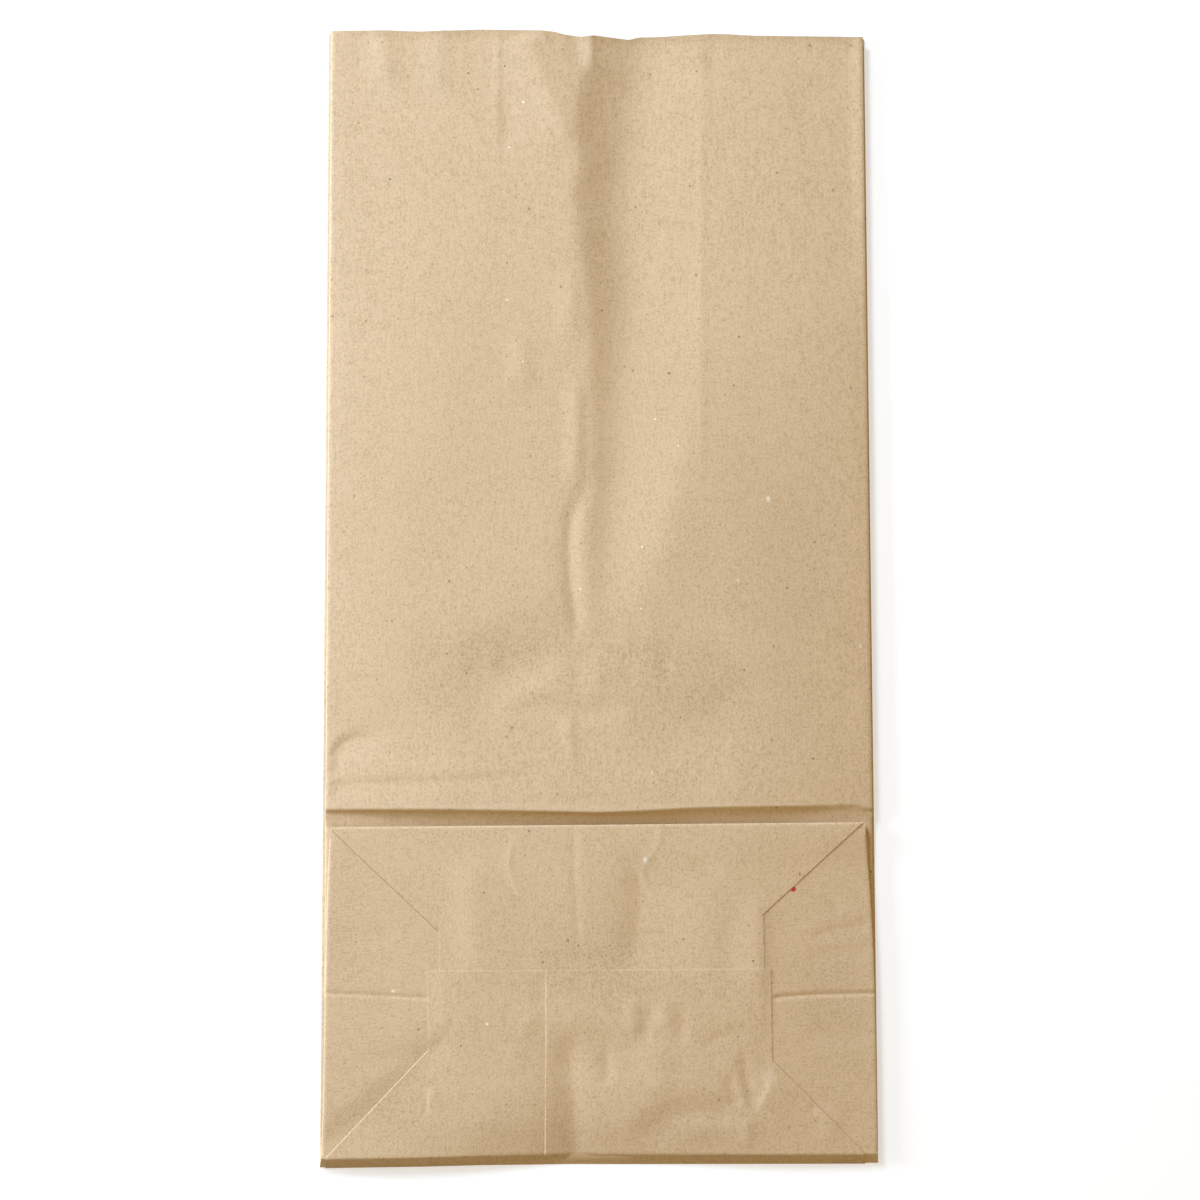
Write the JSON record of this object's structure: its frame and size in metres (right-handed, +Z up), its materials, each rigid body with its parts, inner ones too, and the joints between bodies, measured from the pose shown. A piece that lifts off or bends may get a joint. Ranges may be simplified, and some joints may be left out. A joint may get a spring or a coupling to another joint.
{
  "type": "paper lunch bag",
  "caption": "Brown kraft paper lunch bag lying folded flat, with side gussets and its square bottom turned up over the front.",
  "frame": {"origin": "centre of the bag's outline, on the underside of the back wall that it lies on", "axes": "+X across the bag, +Y from the square bottom's lower crease towards the mouth, +Z up through the plies"},
  "size_m": [0.1302, 0.27, 0.0039],
  "materials": {
    "kraft_paper": "matte machine-finished brown kraft with long fibres and dark specks"
  },
  "bodies": {
    "root": {"paper_bag": "kraft_paper"}
  },
  "joints": []
}
